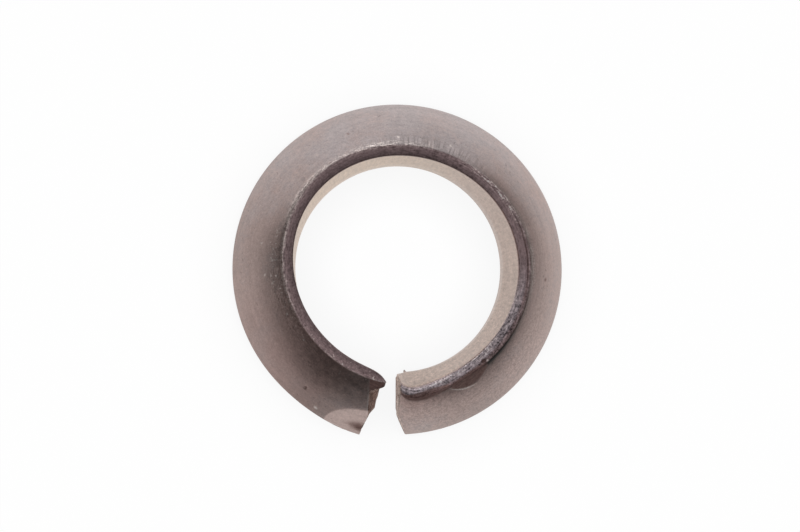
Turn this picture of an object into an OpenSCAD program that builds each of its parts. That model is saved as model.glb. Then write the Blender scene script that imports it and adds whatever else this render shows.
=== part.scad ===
// Spring lock washer with a spherical seat, for a wheel stud.
// One piece of profiled spring steel, rolled into a ring and sheared apart, so that its
// two ends stand a little out of line. It lies on its flat back, with the lip upwards.
// The ring's axis is Z, the flat back is at z = 0, and the gap is on the -Y side.
// Angles run anticlockwise from +X: the right-hand end is at -90, the left-hand at 256.5.

/* [Ring] */
// Diameter of the bore, at its straight land
bore_d = 22.5; // [21:0.1:24]
// Outer diameter of the ring
outer_d = 36; // [34.5:0.1:38]
// Height of the section, from the back to the lip
height = 7; // [6:0.1:8.5]

/* [Section] */
// Width of the flat land on top of the lip
lip_w = 1.1; // [0.8:0.05:1.6]
// Radius of the spherical seat
seat_r = 20; // [16:0.5:30]
// Height of the straight band at the outer rim
rim_h = 0.85; // [0.6:0.05:1.4]
// Height of the bore's straight land
land_h = 3.2; // [2:0.1:4]
// Mean flare of the bore above its land, at the lip
flare = 0.56; // [0.4:0.02:0.8]
// Rounding of the edges
edge_r = 0.22; // [0.12:0.02:0.3]
// Extra rounding of the lip where the rolls upset it, near the right end
bead_r = 0.2; // [0:0.02:0.28]

/* [Spring set] */
// Rise of the left end above the flat back
end_lift = 1.2; // [0:0.1:2]
// Angle at which the ring starts to rise
lift_from = 150; // [120:5:180]
// Lean of the lip, outwards at the right end and inwards at the left end
lean_w = 0.44; // [0:0.02:0.5]
// Waviness of the lip, left by the rolls
wave = 0.25; // [0:0.01:0.3]
// Extra outward bend of the lip at the right end
end_flare = 1.45; // [0:0.05:1.6]
// Outward spread of the rim at the left end
end_spread = 0.6; // [0:0.05:0.7]

/* [Ends] */
// Width of the gap, on the back at the bore
gap = 1.45; // [1.2:0.05:3]
// How far the middle of the gap lies left of the Y axis
gap_shift = 0.975; // [0.8:0.025:1.6]
// How much wider the gap is at the rim than at the bore
gap_draft = 1.4; // [0:0.1:1.6]
// Slant of the left end's sheared face, from the back to the lip
shear_slant = 1.55; // [0.6:0.05:2.2]
// Overhang of the lip on the right end's sheared face
shear_hang = 0.03; // [0:0.01:0.4]
// Length of the bevel on each end's outer corner, along the radius
bevel = 2.2; // [1:0.1:3]
// Depth of the bevel on the right end, and on the left end
bevel_right = 1; // [0.4:0.1:1.6]
bevel_left = 0.4; // [0.2:0.1:1.8]
// How far the left end's nose reaches past the lip's ridge
nose_reach = 0.35; // [0.1:0.05:0.6]
// Width over which the nose then falls back to the seat
nose_w = 1; // [0.6:0.1:1.6]
// Distance over which the nose narrows to its tip
nose_fade = 0.75; // [0.4:0.05:1.2]
// Radius beyond which the foot of the left end's face is chipped away
chip_r = 15.1; // [14.4:0.1:16]
// Size of the corner that broke off the bore's foot at the right end
break_w = 0.7; // [0:0.05:0.9]
// Depth of the flat pressed on the left end's outer corner
flat_depth = 0.36; // [0.04:0.02:0.5]
// Depth of the laps rolled in under the lip near the right end
lap_depth = 0.28; // [0:0.02:0.35]

/* [Facets] */
// Stations along the ring
stations = 96; // [60:4:120]
// Steps along the seat
seat_steps = 12; // [8:1:16]

/* [Hidden] */

bore_r = bore_d / 2;
outer_r = outer_d / 2;
skin = 0.12;                     // what the sizing tool takes off the bore and the back
edge_steps = 3;                  // facets around each rounded edge
first = -90;                     // middle of the right-hand end
last = 256.5;                    // middle of the left-hand end
blend_arc = 26;                  // over this angle the ends' faces fade into radial stations
tip_taper = 0.5;                 // how much smaller the sizing tool's tip is
crowd = 0.72;                    // how much closer the stations lie at the ends
lobe_arc = 149;                  // angle from one dip of the lip's wave to the next
lobe_top = 145;                  // angle of the wave's crest
fade_arc = 21;                   // angle over which the right end's extra bend fades
corner_arc = 3;                  // angle over which its last corner turns back in
corner_pinch = 0.8;              // share of the bend that this corner loses
bead_arc = 80;                   // angle over which the lip's extra rounding fades
spread_from = 222;               // angle at which the left end starts to spread
gap_az = -90;                    // direction of the gap, which the ends' faces are laid from
nose_land = 0.97;                // share of the lip's width that the nose's tip loses
chip_w = 0.9;                    // width over which the chip reaches its full height
chip_rise = 0.45;                // height of the chip, as a share of the section's
laps = [[-78, 10], [-56.5, 10.5]];  // middle and half length of each lap
flat_az = 252;                   // direction that the pressed flat faces
flat_tilt = 57.7;                // tilt of that direction from the ring's axis
back_steps = 5;                  // facets across the flat back
margin = 1;                      // how far the sizing tool reaches past the ring

function clamp01(t) = max(0, min(1, t));
function ease(t) = let (c = clamp01(t)) c * c * (3 - 2 * c);
function mix(a, b, t) = a + (b - a) * t;
function unit(v) = v / norm(v);

// Bump of height 1 at the middle, 0 beyond the half length
function bump(a, mid, half) = abs(a - mid) < half ? pow(cos(90 * (a - mid) / half), 2) : 0;

// Points of an arc from p to q that bulges to the left of that direction
function arc(p, q, r, steps) =
    let (
        half = norm(q - p) / 2,
        rr = max(r, half * 1.02),
        across = unit([(q - p)[1], -(q - p)[0]]),
        mid = (p + q) / 2 + across * sqrt(rr * rr - half * half),
        from = atan2(p[1] - mid[1], p[0] - mid[0]),
        to = atan2(q[1] - mid[1], q[0] - mid[0]),
        turn = (to - from) - 360 * round((to - from) / 360)
    )
    [for (k = [0:steps]) mid + rr * [cos(from + turn * k / steps), sin(from + turn * k / steps)]];

// The rounded corner at a point, between the points before and after it
function rounded(before, at, after, r) =
    let (p = at + r * unit(before - at), q = at + r * unit(after - at))
    [for (k = [0:edge_steps]) let (t = k / edge_steps)
        (1 - t) * (1 - t) * p + 2 * t * (1 - t) * at + t * t * q];

// ---- The ring's departures from a plain turned one, as functions of the angle ----

// Rise of the section off the flat back: the spring's set
function lift_at(a) =
    (end_lift + skin) * pow(clamp01((a - lift_from) / (last - lift_from)), 2) - skin;

// Outward spread of the rim
function spread_at(a) = end_spread * pow(clamp01((a - spread_from) / (last - spread_from)), 2);

// Flare of the lip beyond the bore's land
function flare_at(a) =
    let (along = (a - first) / (last - first))
    flare + lean_w * (1 - 2 * along)
        + wave * cos(360 * (a - lobe_top) / lobe_arc)
        + end_flare
            * (exp(-(a - first) / fade_arc) - corner_pinch * exp(-(a - first) / corner_arc));

// Depth of the laps just outside the lip's ridge
function lap_at(a) = lap_depth * max([for (l = laps) bump(a, l[0], l[1])]);

// The section at an angle, as [radius, height] points: up the bore, over the lip, down
// the seat to the rim, and back along the flat back
function section(a) =
    let (
        out = flare_at(a),
        spread = spread_at(a),
        heel = [bore_r - skin, 0],
        knee = [bore_r - skin, skin + land_h * 0.7],
        lip = [bore_r + out, height + skin],
        ridge = lip + [lip_w, 0],
        rim = [outer_r + spread, skin + rim_h],
        foot = [outer_r + spread, 0],
        seat = arc(ridge + [edge_r, -edge_r] * 0.7, rim, seat_r, seat_steps),
        down = unit(seat[2] - seat[0]),
        lap = lap_at(a) * [down[1], -down[0]],
        soft_r = edge_r + bead_r * clamp01(1 - (a - first) / bead_arc)
    )
    concat(
        rounded(foot, heel, knee, edge_r),
        [knee, mix(knee, lip, 0.35), mix(knee, lip, 0.7)],
        rounded(knee, lip, ridge, soft_r),
        [mix(lip, ridge, 0.5)],
        rounded(lip, ridge, seat[0], soft_r - edge_r / 2),
        [seat[0] + lap, seat[1] + 0.7 * lap],
        [for (k = [2:seat_steps - 1]) seat[k]],
        rounded(seat[seat_steps - 1], rim, foot, edge_r),
        rounded(rim, foot, heel, edge_r + skin),
        [for (k = [1:back_steps - 1]) mix(foot, heel, k / back_steps)]
    );

// ---- The two sheared ends: where each point of the section stops, as x ----

function rim_share(r) = clamp01((r - (outer_r - bevel)) / bevel);

function right_x(p) =
    -gap_shift + gap / 2 - shear_hang * p[1] / height + bevel_right * rim_share(p[0]);

// The lip runs on past the seat as a nose, because the shear drew it out, and the foot
// of the face is chipped away towards the rim
function left_x(p) =
    let (
        past_ridge = p[0] - (bore_r + flare_at(last) + lip_w),
        off_nose = ease((past_ridge - nose_reach) / nose_w),
        chip = chip_rise * ease((p[0] - chip_r) / chip_w),
        along = (p[0] - bore_r) / (outer_r - bore_r)
    )
    -gap_shift - gap / 2 - gap_draft * along
        - shear_slant * off_nose * max(p[1] / height, chip) - bevel_left * rim_share(p[0]);

right_ends = [for (p = section(first)) gap_az + asin(right_x(p) / p[0])];
left_ends = [for (p = section(last)) gap_az + 360 + asin(left_x(p) / p[0])];

// Angle of a station, with the stations closer together near the ends
function station(i) =
    let (t = i / stations)
    mix(first, last, t - crowd * sin(360 * t) / (2 * PI));

// Angle of point j at a station: its share of each end's shape, faded into the ring
function angle_of(a, j) =
    let (
        near_right = clamp01(1 - (a - first) / blend_arc),
        near_left = clamp01(1 - (last - a) / blend_arc)
    )
    a + (right_ends[j] - first) * near_right * near_right
        + (left_ends[j] - last) * near_left * near_left;

// Radius added where the nose narrows to its tip
function nose_round(a, j, p) =
    let (
        arc_left = (left_ends[j] - a) * PI / 180 * p[0],
        inner = clamp01((bore_r + flare_at(a) + lip_w - p[0]) / lip_w)
    )
    nose_land * lip_w * exp(-max(0, arc_left) / nose_fade) * inner;

// Radius added where the bore's lower corner broke off at the right end
function foot_break(a, j, p) =
    let (
        arc_right = (a - right_ends[j]) * PI / 180 * p[0],
        beyond = p[0] - bore_r - edge_r
    )
    (break_w + skin) * clamp01(1 - arc_right / (break_w + edge_r + skin))
        * clamp01(1 - beyond / break_w) * clamp01(1 - p[1] / land_h);

// The flat pressed on the left end's corner: a plane through the rim, set in by its depth
flat_face = [sin(flat_tilt) * cos(flat_az), sin(flat_tilt) * sin(flat_az), cos(flat_tilt)];
flat_at = (outer_r + spread_at(flat_az)) * sin(flat_tilt)
    + (rim_h + lift_at(flat_az)) * cos(flat_tilt) - flat_depth;

function pressed(p, a) = a < lift_from ? p : p - max(0, flat_face * p - flat_at) * flat_face;

function station_points(i) =
    let (a = station(i), s = section(a))
    [for (j = [0:len(s) - 1])
        let (b = angle_of(a, j),
             r = s[j][0] + nose_round(b, j, s[j]) + foot_break(b, j, s[j]))
        pressed([r * cos(b), r * sin(b), s[j][1] + lift_at(b)], a)];

function middle(ring) = [for (p = ring) 1] * ring / len(ring);

// Skin between rings of points, closed at each end by a fan about the ring's middle
module loft(rings) {
    n = len(rings[0]);
    m = len(rings);
    points = concat([for (ring = rings) each ring], [middle(rings[0]), middle(rings[m - 1])]);
    faces = concat(
        [for (i = [0:m - 2], j = [0:n - 1])
            let (k = (j + 1) % n)
            each [[i * n + j, i * n + k, (i + 1) * n + k],
                  [i * n + j, (i + 1) * n + k, (i + 1) * n + j]]],
        [for (j = [0:n - 1]) [m * n, (j + 1) % n, j]],
        [for (j = [0:n - 1]) [m * n + 1, (m - 1) * n + j, (m - 1) * n + (j + 1) % n]]
    );
    polyhedron(points, faces, convexity = 6);
}

// What the bore and the back are sized against: a flat, and a punch with a straight land,
// a tapered tip and a bevel at its foot that breaks the bore's lower edge
module sizing_tool() {
    top = height + end_lift + margin;
    out = outer_r + end_spread + margin;
    rotate_extrude($fn = 180)
        polygon([
            [0, -margin], [out, -margin], [out, 0], [bore_r + edge_r, 0], [bore_r, edge_r],
            [bore_r, land_h], [bore_r - tip_taper, top], [0, top]
        ]);
}

module washer()
    color("silver")
        difference() {
            loft([for (i = [0:stations]) station_points(i)]);
            sizing_tool();
        }

washer();
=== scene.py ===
"""A spring lock washer with a spherical seat, lying on its flat back on a pale table.

The washer is one piece of rolled and sheared spring steel with a phosphate finish.
All lengths in the classes below are millimetres and all angles degrees, unless a name
says otherwise. Angles run anticlockwise from +X, as seen from above, and the gap
between the two sheared ends is on the -Y side.
"""

import logging
import math
from dataclasses import dataclass, field, fields
from enum import Enum

import bpy
from mathutils import Matrix, Vector


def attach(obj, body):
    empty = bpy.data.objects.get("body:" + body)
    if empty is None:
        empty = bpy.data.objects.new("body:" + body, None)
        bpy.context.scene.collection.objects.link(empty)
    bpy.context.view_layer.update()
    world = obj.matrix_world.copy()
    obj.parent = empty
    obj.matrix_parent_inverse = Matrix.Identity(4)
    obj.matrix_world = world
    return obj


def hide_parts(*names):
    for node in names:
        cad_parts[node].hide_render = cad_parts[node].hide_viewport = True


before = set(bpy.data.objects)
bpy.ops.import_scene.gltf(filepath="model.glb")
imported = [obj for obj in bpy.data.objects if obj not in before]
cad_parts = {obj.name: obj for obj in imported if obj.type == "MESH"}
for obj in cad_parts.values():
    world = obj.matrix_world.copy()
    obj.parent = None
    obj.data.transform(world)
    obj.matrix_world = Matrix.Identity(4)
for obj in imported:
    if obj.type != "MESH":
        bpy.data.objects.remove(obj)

MM = 0.001
DEGREE = math.pi / 180
MIDDLE_R = 15.0  # turns angles round the ring into lengths, in its noises
PRESSED_PER_MM = 32.0
BODY = "root"
NODE = "washer"

log = logging.getLogger("washer")


# ---------------------------------------------------------------------------
# Arithmetic on node sockets
# ---------------------------------------------------------------------------


class Maths(Enum):
    """Operations of a Math node that the formulas below use."""

    ADD = "ADD"
    SUBTRACT = "SUBTRACT"
    MULTIPLY = "MULTIPLY"
    DIVIDE = "DIVIDE"
    POWER = "POWER"
    EXPONENT = "EXPONENT"
    SQUARE_ROOT = "SQRT"
    ABSOLUTE = "ABSOLUTE"
    SMALLER = "MINIMUM"
    LARGER = "MAXIMUM"
    FLOOR = "FLOOR"
    SINE = "SINE"
    COSINE = "COSINE"
    ARCSINE = "ARCSINE"
    ABOVE = "GREATER_THAN"


class Value:
    """A number that nodes work out, written as ordinary arithmetic."""

    def __init__(self, tree: bpy.types.NodeTree, socket: bpy.types.NodeSocket) -> None:
        """Wrap a node's output.

        Args:
            tree: The node tree that the output belongs to.
            socket: The output.
        """
        self.tree = tree
        self.socket = socket

    def work(self, operation: Maths, *others: "Value | float", first: bool = True) -> "Value":
        """Add a Math node.

        Args:
            operation: What the node does.
            others: The other numbers it takes.
            first: Whether this value is the node's first number.

        Returns:
            The node's result.
        """
        node = self.tree.nodes.new("ShaderNodeMath")
        node.operation = operation.value
        terms = (self, *others) if first else (*others, self)
        for slot, term in zip(node.inputs, terms):
            if isinstance(term, Value):
                self.tree.links.new(term.socket, slot)
            else:
                slot.default_value = float(term)
        return Value(self.tree, node.outputs[0])

    def __add__(self, other: "Value | float") -> "Value":
        """Sum."""
        return self.work(Maths.ADD, other)

    __radd__ = __add__

    def __sub__(self, other: "Value | float") -> "Value":
        """Difference."""
        return self.work(Maths.SUBTRACT, other)

    def __rsub__(self, other: float) -> "Value":
        """Difference from a plain number."""
        return self.work(Maths.SUBTRACT, other, first=False)

    def __mul__(self, other: "Value | float") -> "Value":
        """Product."""
        return self.work(Maths.MULTIPLY, other)

    __rmul__ = __mul__

    def __truediv__(self, other: "Value | float") -> "Value":
        """Quotient."""
        return self.work(Maths.DIVIDE, other)

    def __neg__(self) -> "Value":
        """Negative."""
        return self.work(Maths.MULTIPLY, -1.0)

    def __pow__(self, power: float) -> "Value":
        """Power of a value that is not negative."""
        return self.work(Maths.POWER, power)

    def sin(self) -> "Value":
        """Sine of an angle in degrees."""
        return (self * DEGREE).work(Maths.SINE)

    def cos(self) -> "Value":
        """Cosine of an angle in degrees."""
        return (self * DEGREE).work(Maths.COSINE)

    def asin(self) -> "Value":
        """Angle in degrees of a sine."""
        return self.work(Maths.ARCSINE) * (1 / DEGREE)

    def exp(self) -> "Value":
        """Exponential."""
        return self.work(Maths.EXPONENT)

    def sqrt(self) -> "Value":
        """Square root."""
        return self.work(Maths.SQUARE_ROOT)

    def abs(self) -> "Value":
        """Distance from zero."""
        return self.work(Maths.ABSOLUTE)

    def at_least(self, other: "Value | float") -> "Value":
        """The larger of the two."""
        return self.work(Maths.LARGER, other)

    def at_most(self, other: "Value | float") -> "Value":
        """The smaller of the two."""
        return self.work(Maths.SMALLER, other)

    def clamp(self) -> "Value":
        """The value held between 0 and 1."""
        return self.at_least(0.0).at_most(1.0)

    def ease(self) -> "Value":
        """A soft step from 0 to 1, flat at both."""
        held = self.clamp()
        return held * held * (3.0 - 2.0 * held)

    def above(self, other: "Value | float") -> "Value":
        """One where the value is larger, else zero."""
        return self.work(Maths.ABOVE, other)

    def ramp(self, start: float, end: float) -> "Value":
        """A soft step that is 0 at the start and 1 at the end."""
        return ((self - start) / (end - start)).ease()

    def bump(self, middle: float, half: float) -> "Value":
        """A soft hump of height 1 at the middle and 0 beyond its half length."""
        return (1.0 - ((self - middle) / half).abs()).ease()


def mix(start: "Value | float", end: "Value | float", share: "Value") -> "Value":
    """The value a share of the way from a start to an end."""
    return (share * (end - start)) + start


def share_pressed(depth: Value) -> Value:
    """How fully a place lies in the pressed flat, from the depth pressed in millimetres."""
    return (depth * PRESSED_PER_MM).clamp()


@dataclass(frozen=True)
class Arc:
    """An arc of the ring, by its middle and half length, and how strong a look is there."""

    middle: float
    half: float
    strength: float = 1.0


@dataclass(frozen=True)
class Patch:
    """An arc of the ring and a band of its section, and how strong a look is there."""

    middle: float
    half: float
    reach: float
    width: float
    strength: float = 1.0


def sum_of_arcs(turn: Value, arcs: tuple[Arc, ...]) -> Value:
    """The strengths of arcs at an angle, added up.

    Args:
        turn: The angle round the ring.
        arcs: The arcs.

    Returns:
        The sum, 0 where no arc is.
    """
    total = turn * 0.0
    for arc in arcs:
        total = total + turn.bump(arc.middle, arc.half) * arc.strength
    return total


def sum_of_patches(turn: Value, reach: Value, patches: tuple[Patch, ...]) -> Value:
    """The strengths of patches at a place, added up.

    Args:
        turn: The angle round the ring.
        reach: The length down the section.
        patches: The patches.

    Returns:
        The sum, 0 where no patch is.
    """
    total = turn * 0.0
    for p in patches:
        total = total + turn.bump(p.middle, p.half) * reach.bump(p.reach, p.width) * p.strength
    return total


# ---------------------------------------------------------------------------
# The section of the rolled steel
# ---------------------------------------------------------------------------


@dataclass(frozen=True)
class SectionSizes:
    """Sizes of the steel's section, where the washer lies flat."""

    bore_r: float = 11.25
    outer_r: float = 18.0
    height: float = 7.0
    lip_w: float = 1.1
    seat_r: float = 20.0
    rim_h: float = 0.85
    land_h: float = 3.2
    flare: float = 0.56
    edge_r: float = 0.22
    foot_r: float = 0.3
    sizing: float = 0.12

    @property
    def knee_h(self) -> float:
        """Height at which the bore starts to flare."""
        return self.land_h * 0.7

    @property
    def ridge_r(self) -> float:
        """Radius of the sharp outer edge of the lip's land."""
        return self.bore_r + self.flare + self.lip_w


class Outline:
    """The closed outline of the section: up the bore, over the lip, down the seat."""

    def __init__(self, sizes: SectionSizes) -> None:
        """Lay out the outline's points.

        Args:
            sizes: The section's sizes.
        """
        self.sizes = sizes
        self.points: list[Vector] = []
        self._ridge_at = 0
        self._lay_out()

    def _line(self, start: Vector, end: Vector, steps: int) -> None:
        """Add points along a straight line, without its start."""
        self.points += [start.lerp(end, k / steps) for k in range(1, steps + 1)]

    def _corner(
        self, before: Vector, at: Vector, after: Vector, size: float, steps: int
    ) -> None:
        """Add a rounded corner.

        Args:
            before: A point on the line that comes in.
            at: The sharp corner.
            after: A point on the line that goes out.
            size: How far from the corner the rounding starts.
            steps: How many points it takes.
        """
        start = at + (before - at).normalized() * size
        end = at + (after - at).normalized() * size
        self._line(self.points[-1], start, 1)
        for k in range(1, steps + 1):
            t = k / steps
            self.points.append(
                start * (1 - t) ** 2 + at * (2 * t * (1 - t)) + end * t**2
            )

    def _arc(self, start: Vector, end: Vector, radius: float, steps: int) -> list[Vector]:
        """Points of an arc that bulges outwards, closer together near its start.

        Args:
            start: Its first point.
            end: Its last point.
            radius: Its radius.
            steps: How many steps it takes.

        Returns:
            The points, with both ends.
        """
        half = (end - start).length / 2
        across = Vector((end.y - start.y, start.x - end.x)).normalized()
        middle = (start + end) / 2 + across * math.sqrt(radius**2 - half**2)
        first = math.atan2(start.y - middle.y, start.x - middle.x)
        last = math.atan2(end.y - middle.y, end.x - middle.x)
        turns = [first + (last - first) * (k / steps) ** 1.5 for k in range(steps + 1)]
        return [middle + radius * Vector((math.cos(t), math.sin(t))) for t in turns]

    def _lay_out(self) -> None:
        """Place every point, as radius and height."""
        s = self.sizes
        heel = Vector((s.bore_r, 0.0))
        knee = Vector((s.bore_r, s.knee_h))
        lip = Vector((s.bore_r + s.flare, s.height))
        ridge = Vector((s.ridge_r, s.height))
        rim = Vector((s.outer_r, s.rim_h))
        foot = Vector((s.outer_r, 0.0))
        self.points.append(Vector((s.bore_r + s.edge_r, 0.0)))
        self._corner(foot, heel, knee, s.edge_r, 4)
        self._line(self.points[-1], knee, 16)
        self._line(knee, knee.lerp(lip, 0.95), 10)
        self._corner(knee, lip, ridge, s.edge_r, 5)
        self._line(self.points[-1], lip.lerp(ridge, 0.9), 13)
        seat = self._arc(ridge, rim, s.seat_r, 46)
        self._corner(lip, ridge, seat[4], s.edge_r * 0.5, 4)
        self._ridge_at = len(self.points) - 3
        self.points += seat[3:-1]
        self._corner(seat[-2], rim, foot, s.edge_r * 0.5, 4)
        self._corner(rim, foot, heel, s.foot_r, 5)
        self._line(self.points[-1], self.points[0], 5)

    def reach(self) -> list[float]:
        """Length along the outline from the ridge, positive down the seat.

        Returns:
            One length for each point.
        """
        steps = [0.0]
        for a, b in zip(self.points, self.points[1:]):
            steps.append(steps[-1] + (b - a).length)
        return [step - steps[self._ridge_at] for step in steps]

    def middle(self) -> Vector:
        """A point well inside the section."""
        return sum(self.points, Vector((0.0, 0.0))) / len(self.points)

    def as_object(self, name: str) -> bpy.types.Object:
        """Make a helper mesh of loose points for the node tree to read.

        Args:
            name: The helper's name.

        Returns:
            The helper, with each point's reach as an attribute.
        """
        mesh = bpy.data.meshes.new(name)
        mesh.from_pydata([(p.x, p.y, 0.0) for p in self.points], [], [])
        values = mesh.attributes.new("reach", "FLOAT", "POINT").data
        for value, reach in zip(values, self.reach()):
            value.value = reach
        helper = bpy.data.objects.new(name, mesh)
        bpy.context.scene.collection.objects.link(helper)
        return helper


# ---------------------------------------------------------------------------
# The ring
# ---------------------------------------------------------------------------


@dataclass(frozen=True)
class RingSizes:
    """How the rolled ring departs from a turned one. Each field is an input of the tree."""

    first_angle: float = -90.0
    last_angle: float = 256.5
    end_lift: float = 1.2
    lift_from: float = 150.0
    lean: float = 0.44
    wave: float = 0.25
    lobe_arc: float = 149.0
    lobe_top: float = 145.0
    end_flare: float = 1.45
    fade_arc: float = 21.0
    corner_arc: float = 3.0
    corner_pinch: float = 0.8
    end_spread: float = 0.6
    spread_from: float = 222.0
    gap: float = 1.45
    gap_shift: float = 0.975
    gap_draft: float = 1.4
    shear_slant: float = 1.55
    shear_hang: float = 0.03
    bevel: float = 2.2
    bevel_right: float = 1.0
    bevel_left: float = 0.4
    nose_reach: float = 0.35
    nose_w: float = 1.0
    nose_fade: float = 0.75
    nose_land: float = 0.97
    chip_r: float = 15.1
    chip_w: float = 0.9
    chip_rise: float = 0.45
    break_w: float = 0.7
    bead_depth: float = 0.16
    bead_arc: float = 80.0
    blend_arc: float = 26.0
    flat_depth: float = 0.36
    flat_az: float = 252.0
    flat_tilt: float = 57.7


@dataclass(frozen=True)
class Lap:
    """A hollow rolled in under the lip, or a swelling where its depth is negative."""

    middle: float
    half: float
    width: float
    depth: float
    inside: float = 0.25
    power: float = 1.0
    scale: float = 1.0


@dataclass(frozen=True)
class Nick:
    """A small dent, or a burr where its depth is negative, at an angle and a reach."""

    angle: float
    reach: float
    size: float
    depth: float


@dataclass(frozen=True)
class Speck:
    """A small bright speck, partly a spot worn through the coat and partly a painted glint: its
    angle, its distance down the seat and its size.
    """

    angle: float
    reach: float
    size: float


def off_spot(turn: Value, reach: Value, spot: Nick | Speck, radius: float) -> Value:
    """Distance over the surface from a spot.

    Args:
        turn: The angle round the ring.
        reach: The length down the section.
        spot: The spot.
        radius: The radius that turns angles into lengths.

    Returns:
        The distance, in millimetres.
    """
    around = (turn - spot.angle) * (DEGREE * radius)
    below = reach - spot.reach
    return (around * around + below * below).sqrt()


@dataclass(frozen=True)
class Wear:
    """Heights of the marks in the metal, and where the sheared ends are torn and broken."""

    rolled: float = 0.05
    cloudy: float = 0.02
    crumbs: float = 0.08
    grit: float = 0.03
    drawn: float = 0.16
    smooth_lip: float = 0.12
    bead_limit: float = 1.2
    ridge_arc: tuple[float, float] = (168.0, 52.0)
    ridge_w: float = 0.38
    ridge_depth: float = 0.06
    lap_fullness: float = 0.38
    lap_lip: float = 0.18
    lap_scale: float = 0.85
    nick_scale: float = 0.7
    left_from: float = 230.0
    torn_from_x: float = -3.67
    torn_to_x: float = -3.59
    torn_rough: float = 0.3
    torn_depth: float = 0.12
    sheared: float = 0.22
    # how much darker the right sheared face is towards its foot
    darker_foot: float = 0.75
    corner_crumbs: float = 0.45
    # painted highlights on the rim of the open lap and along the torn edge of the left end
    leaf_rim_highlight: float = 1.6
    torn_highlight_x: float = -3.72
    torn_highlight: float = 0.5

    @property
    def rough_lip(self) -> float:
        """How much more the lip's rough arc is crumbled than the rest of it."""
        return 1.0 - self.smooth_lip


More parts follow.
